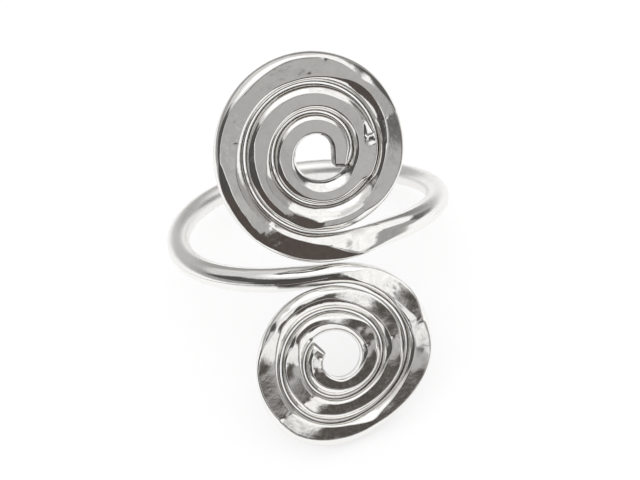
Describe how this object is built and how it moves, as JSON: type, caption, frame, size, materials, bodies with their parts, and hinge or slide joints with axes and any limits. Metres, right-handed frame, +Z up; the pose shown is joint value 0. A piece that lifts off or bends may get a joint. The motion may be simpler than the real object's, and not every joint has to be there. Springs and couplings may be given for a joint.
{
  "type": "swirl ring",
  "caption": "Finger ring bent from a round silver wire, its ends coiled into flat hammered swirls above and below the shank.",
  "frame": {"origin": "middle of the bounding box at its base, on the floor that the ring rests on", "axes": "+Z up from the floor; the ring leans back as it rests, so its swirls face -Y and upwards; +X to the right seen from the swirls' side"},
  "size_m": [0.0206, 0.0264, 0.0202],
  "materials": {
    "silver": "polished silver, hammered on the swirls' flats, with a little dark tarnish in the grooves"
  },
  "bodies": {
    "root": {"ring_wire": "silver"}
  },
  "joints": []
}
